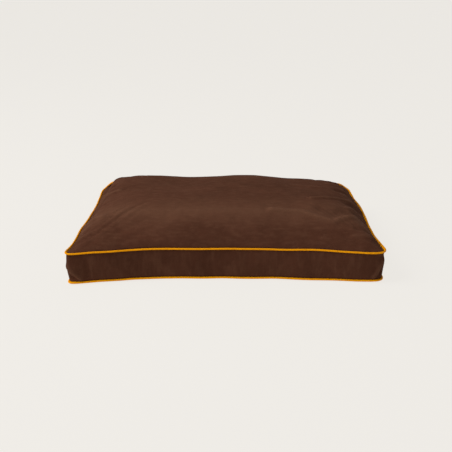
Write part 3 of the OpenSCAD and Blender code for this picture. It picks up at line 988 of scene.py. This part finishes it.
def insert_form(off, rough, seed):
    """Rows of the insert from crown to base at an offset inwards; always well inside the cover."""
    plan = SEAM.at(np.linspace(0, SEAM.total, 300, endpoint=False))
    rows = []

    def row(scale, height):
        """The plan at a scale, at a height that is a number or a function of the place."""
        q = plan * scale
        z = np.array([height(x, y) if callable(height) else height for x, y in q])
        w = np.array([rough * n3(x, y, z[i], 0.05, seed) for i, (x, y) in enumerate(q)])
        rows.append(np.column_stack([q[:, 0] * (1 - abs(w) * 2), q[:, 1] * (1 - abs(w) * 2), z]))

    def top(x, y):
        inset = side_x(y) - 0.008 - abs(x)
        slope = inset + 2 * max(0.0, inset - 0.03)
        cover = min(crown(x, y), top_height(x, y) + min(0, fold_height(x, y)), slope) - corner_dip(x, y)
        return Z_TOP + max(0.0, cover) - 0.0165 - 1.6 * off

    shrink = off * 3
    for k in (0.02, 0.1, 0.2, 0.3, 0.4, 0.5, 0.58, 0.66, 0.73, 0.79, 0.84, 0.88, 0.91):
        row(k, top)
    row(EDGE - shrink, Z_TOP - 0.016 - 2 * off)
    row(EDGE + 0.005 - shrink, Z_TOP - 0.035)
    row(WAIST - shrink, ZIP_Z + HAIR / 2)
    waist = len(rows)
    row(WAIST - shrink, ZIP_Z - HAIR / 2)
    row(EDGE + 0.005 - shrink, Z_LOW + 0.035)
    row(EDGE - shrink, Z_LOW + 0.016 + off)
    row(EDGE - 0.04 - shrink, Z_LOW + COVER_T + 0.002 + off)
    for k in (0.8, 0.6, 0.3, 0.02):
        row(k - shrink, 0.0024 + off)
    return rows, waist


def ring_solid(name, loops):
    """A closed form through closed loops, with a cap on each end loop."""
    n = len(loops[0])
    last = (len(loops) - 1) * n
    verts = np.vstack([np.concatenate(loops), loops[0].mean(0), loops[-1].mean(0)])
    faces = []
    for a in range(0, last, n):
        for i in range(n):
            j = (i + 1) % n
            faces.append((a + i, a + j, a + n + j, a + n + i))
    faces += [((i + 1) % n, i, len(verts) - 2) for i in range(n)]
    faces += [(last + i, last + (i + 1) % n, len(verts) - 1) for i in range(n)]
    return new_object(name, verts, faces)


def make_insert():
    out, w = insert_form(0, 0.0012, 70)
    inn, _ = insert_form(0.0006, 0.0012, 70)
    fill, _ = insert_form(0.0018, 0.0030, 71)
    top = ring_solid("liner_top.cotton", out[:w] + inn[:w][::-1])
    low = ring_solid("liner_bottom.cotton", inn[w:][::-1] + out[w:])
    return top, low, ring_solid("fibre_fill.fibre", fill)


# ---- materials
def linear(c):
    return c / 255 / 12.92 if c <= 10.31 else ((c / 255 + 0.055) / 1.055) ** 2.4


def srgb(r, g, b):
    return (linear(r), linear(g), linear(b), 1.0)


class Nodes:
    """A node material built step by step."""

    def __init__(self, name, roughness, **sockets):
        self.mat = bpy.data.materials.new(name)
        self.mat.use_nodes = True
        self.t = self.mat.node_tree
        self.bsdf = self.t.nodes["Principled BSDF"]
        self.bsdf.inputs["Roughness"].default_value = roughness
        for k, v in sockets.items():
            self.bsdf.inputs[k.replace("_", " ")].default_value = v
        place = self.t.nodes.new("ShaderNodeTexCoord")
        self.pos, self.normal = place.outputs["Object"], place.outputs["Normal"]

    def link(self, a, b):
        self.t.links.new(a, b)

    def add(self, kind, vec, **values):
        """A new node with these numbers on its inputs, fed with a place."""
        n = self.t.nodes.new("ShaderNode" + kind)
        for k, v in values.items():
            n.inputs[k].default_value = v
        self.link(vec or self.pos, n.inputs["Vector"])
        return n

    def mapped(self, scale=(1, 1, 1), rot=(0, 0, 0)):
        return self.add("Mapping", None, Scale=scale, Rotation=rot).outputs["Vector"]

    def noise(self, scale, detail=3, rough=0.5, vec=None, distortion=0.0):
        n = self.add("TexNoise", vec, Scale=scale, Detail=detail, Roughness=rough, Distortion=distortion)
        return n.outputs["Fac"]

    def wave(self, scale, vec=None, distortion=0.0, direction="X"):
        n = self.add("TexWave", vec, Scale=scale, Distortion=distortion, Detail=1)
        n.wave_type = "BANDS"
        n.bands_direction = direction
        return n.outputs["Fac"]

    def ramp(self, fac, *stops):
        n = self.t.nodes.new("ShaderNodeValToRGB")
        e = n.color_ramp.elements
        while len(e) < len(stops):
            e.new(0.5)
        for el, (at, col) in zip(e, stops):
            el.position = at
            el.color = col if isinstance(col, tuple) else (col, col, col, 1)
        self.link(fac, n.inputs["Fac"])
        return n.outputs["Color"]

    def mix(self, fac, a, b, kind="MIX"):
        n = self.t.nodes.new("ShaderNodeMix")
        n.data_type = "RGBA"
        n.blend_type = kind
        ins = {i.name: i for i in n.inputs if i.type == "RGBA"}
        for sock, v in ((n.inputs[0], fac), (ins["A"], a), (ins["B"], b)):
            if isinstance(v, (int, float, tuple)):
                sock.default_value = v
            else:
                self.link(v, sock)
        return [o for o in n.outputs if o.type == "RGBA"][0]

    def math(self, op, a, b):
        n = self.t.nodes.new("ShaderNodeMath")
        n.operation = op
        for k, v in enumerate((a, b)):
            if isinstance(v, (int, float)):
                n.inputs[k].default_value = v
            else:
                self.link(v, n.inputs[k])
        return n.outputs[0]

    def attribute(self, name):
        n = self.t.nodes.new("ShaderNodeAttribute")
        n.attribute_name = name
        return n.outputs["Fac"]

    def axis(self, vec, which):
        n = self.t.nodes.new("ShaderNodeSeparateXYZ")
        self.link(vec, n.inputs["Vector"])
        return n.outputs[which]

    def colour(self, c):
        self.link(c, self.bsdf.inputs["Base Color"])

    def rough(self, r):
        self.link(r, self.bsdf.inputs["Roughness"])

    def bump(self, *layers):
        last = None
        for height, strength, distance in layers:
            n = self.t.nodes.new("ShaderNodeBump")
            n.inputs["Strength"].default_value = strength
            n.inputs["Distance"].default_value = distance
            self.link(height, n.inputs["Height"])
            if last:
                self.link(last, n.inputs["Normal"])
            last = n.outputs["Normal"]
        self.link(last, self.bsdf.inputs["Normal"])


def suede(name, light, dark, rub_and_painted_light):
    """Brushed micro-suede: short nap lying in patches, with painted highlight along the front crest and on
    fold ridges, painted shade in fold hollows and on slopes and sides, and faint brush marks that run along
    the width on top and up and down on the sides."""
    m = Nodes(name, 0.95, Sheen_Weight=0.07, Sheen_Roughness=0.5, Sheen_Tint=(0.64, 0.33, 0.20, 1),
              Specular_IOR_Level=0.02)
    patches = m.noise(7, 4, 0.55, distortion=0.6)
    mottle = m.noise(42, 4, 0.65, distortion=0.3)
    along = m.noise(30, 4, 0.6, vec=m.mapped((1, 3.6, 1)))
    upright = m.noise(48, 5, 0.6, vec=m.mapped((1.3, 1, 0.35)), distortion=0.5)
    flat = m.ramp(m.math("ABSOLUTE", m.axis(m.normal, "Z"), 0.0), (0.25, 0.0), (0.6, 1.0))
    strokes = m.mix(flat, upright, along)
    # painted highlight: a lighter band along the front crest of the top, on upward-facing cloth only
    depth = m.math("ADD", m.axis(m.pos, "Y"), m.math("MULTIPLY", patches, 0.10))
    crest = m.ramp(m.math("ADD", depth, 0.55), (0.33, 0.0), (0.41, 1.0), (0.51, 0.0))
    grain = m.noise(620, 2, 0.6)
    fine = m.noise(2400, 2, 0.5)
    base = m.mix(m.ramp(patches, (0.36, 0.0), (0.64, 1.0)), dark, light)
    base = m.mix(m.ramp(strokes, (0.45, 0.0), (0.80, 0.45)), base, rub_and_painted_light)
    base = m.mix(m.math("MULTIPLY", crest, m.math("MULTIPLY", flat, 0.55)), base, rub_and_painted_light)
    # painted highlight on fold and crease ridges from the stored values, then painted shade in their
    # hollows as a dark multiply
    wear_and_painted_light = m.attribute("rub_and_painted_light")
    base = m.mix(m.ramp(wear_and_painted_light, (0.05, 0.0), (1.0, 0.62)), base, rub_and_painted_light)
    painted_fold_shade = m.ramp(m.math("MULTIPLY", wear_and_painted_light, -1.0), (0.0, 0.0), (1.0, 0.22))
    base = m.mix(painted_fold_shade, base, (0.25, 0.2, 0.2, 1), "MULTIPLY")
    # painted shade: slopes and sides are darkened the further the surface turns from level
    painted_slope_shade = m.ramp(m.math("ABSOLUTE", m.axis(m.normal, "Z"), 0.0), (0.0, 0.80), (0.60, 0.87), (0.95, 0.97))
    base = m.mix(1.0, base, painted_slope_shade, "MULTIPLY")
    base = m.mix(0.45, base, m.ramp(mottle, (0.34, 0.76), (0.66, 1.0)), "MULTIPLY")
    base = m.mix(0.42, base, m.ramp(grain, (0.32, 0.62), (0.70, 1.0)), "MULTIPLY")
    m.colour(base)
    m.rough(m.ramp(strokes, (0.35, 0.98), (0.7, 0.88)))
    m.bump((strokes, 0.2, 0.0012), (grain, 0.45, 0.0004), (fine, 0.5, 0.00018))
    return m.mat


def woven(name, light, dark, thread, roughness=0.85, tilt=0.0, **kw):
    """Plain weave: two crossed sets of threads, thread metres apart, with slubs."""
    m = Nodes(name, roughness, **kw)
    k = 2 * math.pi / thread / 20
    vec = m.mapped((1, 1, 1), (0, tilt, tilt))
    warp = m.wave(k, vec, 0.3, "X")
    weft = m.wave(k, vec, 0.3, "Z")
    third = m.wave(k, vec, 0.3, "Y")
    cloth = m.math("MULTIPLY", m.math("MAXIMUM", warp, third), weft)
    slub = m.noise(90, 3, 0.6, vec=m.mapped((1, 1, 3)))
    base = m.mix(m.ramp(slub, (0.35, 0.0), (0.65, 1.0)), dark, light)
    base = m.mix(0.25, base, m.ramp(cloth, (0.0, 0.70), (0.6, 1.0)), "MULTIPLY")
    m.colour(base)
    m.bump((cloth, 0.5, thread * 0.25), (m.noise(900, 2), 0.3, 0.0001))
    return m.mat


def metal(name, colour, wear_and_painted_light):
    m = Nodes(name, 0.32, Metallic=1.0)
    rub_and_painted_light = m.noise(420, 4, 0.6)
    scratch = m.noise(1500, 2, 0.7, vec=m.mapped((0.12, 1, 1)))
    m.colour(m.mix(m.ramp(rub_and_painted_light, (0.45, 0.0), (0.75, 0.8)), colour, wear_and_painted_light))
    m.rough(m.ramp(scratch, (0.3, 0.24), (0.75, 0.50)))
    m.bump((scratch, 0.15, 0.00005), (rub_and_painted_light, 0.12, 0.0001))
    return m.mat


def plastic(name, colour, pale):
    m = Nodes(name, 0.38, Specular_IOR_Level=0.5)
    m.colour(m.mix(m.ramp(m.noise(140, 3), (0.4, 0.0), (0.7, 0.6)), colour, pale))
    m.rough(m.ramp(m.noise(900, 2), (0.3, 0.30), (0.7, 0.52)))
    m.bump((m.noise(2600, 2), 0.2, 0.00005))
    return m.mat


def fluff(name, light, dark):
    m = Nodes(name, 1.0, Sheen_Weight=0.4)
    f = m.noise(160, 6, 0.7, distortion=1.5)
    m.colour(m.mix(m.ramp(f, (0.3, 0.0), (0.7, 1.0)), dark, light))
    m.bump((f, 0.8, 0.002), (m.noise(1100, 3, 0.7, distortion=2), 0.6, 0.0006))
    return m.mat


MAT = {
    # the third suede colour is the lighter brown for brush marks and for the painted highlights on the
    # crest and fold ridges
    "cover_suede": suede("cover_suede", srgb(93, 57, 42), srgb(84, 51, 37), srgb(114, 78, 59)),
    "piping_cloth": woven("piping_cloth", srgb(246, 163, 6), srgb(234, 150, 2), 0.0006, 0.85, 0.78,
                          Specular_IOR_Level=0.08),
    "cotton_cord": woven("cotton_cord", srgb(232, 224, 205), srgb(214, 204, 182), 0.0005, 0.95),
    "zip_tape": woven("zip_tape", srgb(58, 38, 30), srgb(46, 30, 24), 0.0007, 0.8),
    "zip_coil": plastic("zip_coil", srgb(48, 33, 27), srgb(62, 45, 37)),
    "zip_metal": metal("zip_metal", srgb(150, 144, 136), srgb(186, 180, 170)),
    "label_satin": woven("label_satin", srgb(240, 238, 232), srgb(230, 227, 219), 0.00035, 0.38,
                         Sheen_Weight=0.1),
    "insert_liner": woven("insert_liner", srgb(236, 232, 222), srgb(224, 219, 207), 0.0007, 0.9),
    "fibre": fluff("fibre", srgb(248, 247, 243), srgb(228, 227, 222)),
    "thread": woven("thread", srgb(92, 62, 48), srgb(72, 46, 35), 0.0003, 0.6, 0.5),
}


def dress(ob, mat, body=ROOT):
    ob.data.materials.clear()
    ob.data.materials.append(MAT[mat])
    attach(ob, body)
    return ob


# ---- the pieces
top_ob = make_top_panel()
bottom_ob = make_bottom_panel()
band_ob = make_band()
upper_ob = make_rear_strip("rear_boxing_upper.cloth", True)
lower_ob = make_rear_strip("rear_boxing_lower.cloth", False)
for ob in (top_ob, bottom_ob, band_ob, upper_ob, lower_ob):
    node = ob.name.split(".")[0]
    dress(ob, "cover_suede")
    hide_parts(node)

for level, word in ((1, "top"), (0, "bottom")):
    pipe = make_piping(word + "_piping_cover.cloth", level, 31 + level)
    dress(pipe, "piping_cloth")
    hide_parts(word + "_piping_cover")
    cord = make_cord(word + "_piping_cord.cotton", level)
    dress(cord, "cotton_cord")
    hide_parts(word + "_piping_cord")

for side, word in ((1, "upper"), (-1, "lower")):
    tape = make_tape("zip_tape_" + word + ".woven", side)
    dress(tape, "zip_tape")
    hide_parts("zip_tape_" + word)
    coil = make_coil("zip_coil_" + word + ".nylon", side)
    dress(coil, "zip_coil")
    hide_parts("zip_coil_" + word)

for ob in make_stitches():
    dress(ob, "thread")

label = make_label()
dress(label, "label_satin")
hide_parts("care_label")

liner_top, liner_low, fibre = make_insert()
for ob, mat in ((liner_top, "insert_liner"), (liner_low, "insert_liner"), (fibre, "fibre")):
    node = ob.name.split(".")[0]
    dress(ob, mat)
    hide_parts(node)

METAL_EDGE = 0.00018
for node in ("zip_slider", "zip_pull", "zip_top_stops", "zip_bottom_stop"):
    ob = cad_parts[node]
    ob.data.materials.clear()
    ob.data.materials.append(MAT["zip_metal"])
    bev = ob.modifiers.new("soft_edges", "BEVEL")
    bev.width = METAL_EDGE
    bev.segments = 2
    bev.limit_method = "ANGLE"
    bev.angle_limit = math.radians(50)

# ---- floor and light
floor = new_object("floor", [(-30, -30, 0), (30, -30, 0), (30, 30, 0), (-30, 30, 0)], [(0, 1, 2, 3)], False)
paper = bpy.data.materials.new("paper")
paper.use_nodes = True
sockets = paper.node_tree.nodes["Principled BSDF"].inputs
sockets["Base Color"].default_value = (0.07, 0.0679, 0.0644, 1)
sockets["Emission Color"].default_value = (0.86, 0.834, 0.791, 1)
sockets["Emission Strength"].default_value = 0.936
sockets["Roughness"].default_value = 1.0
sockets["Specular IOR Level"].default_value = 0.0
floor.data.materials.append(paper)

world = bpy.data.worlds.new("studio")
scene.world = world
world.use_nodes = True
wt = world.node_tree
wt.nodes.clear()
seen = wt.nodes.new("ShaderNodeBackground")
seen.inputs["Color"].default_value = srgb(240, 237, 231)
soft = wt.nodes.new("ShaderNodeBackground")
soft.inputs["Color"].default_value = (0.32, 0.32, 0.32, 1)
ray = wt.nodes.new("ShaderNodeLightPath")
pick = wt.nodes.new("ShaderNodeMixShader")
out = wt.nodes.new("ShaderNodeOutputWorld")
wt.links.new(ray.outputs["Is Camera Ray"], pick.inputs["Fac"])
wt.links.new(soft.outputs["Background"], pick.inputs[1])
wt.links.new(seen.outputs["Background"], pick.inputs[2])
wt.links.new(pick.outputs["Shader"], out.inputs["Surface"])


def add_light(name, kind, direction, energy):
    """A light that shines from this direction towards the middle of the floor."""
    data = bpy.data.lights.new(name, kind)
    data.energy = energy
    ob = bpy.data.objects.new(name, data)
    scene.collection.objects.link(ob)
    ob.rotation_euler = Vector(direction).to_track_quat("Z", "Y").to_euler()
    return ob


# a round soft box at the upper left, and a weak broad light from low on the left
KEY_PLACE = (-3.3, -1.0, 3.65)
key = add_light("key", "AREA", KEY_PLACE, 168)
key.location = KEY_PLACE
key.data.shape = "DISK"
key.data.size = 3.1
side_light = add_light("side", "SUN", (-0.92, -0.10, 0.38), 0.40)
side_light.data.angle = math.radians(60)

scene.view_settings.view_transform = "Standard"
scene.view_settings.look = "None"
scene.view_settings.exposure = 0.0
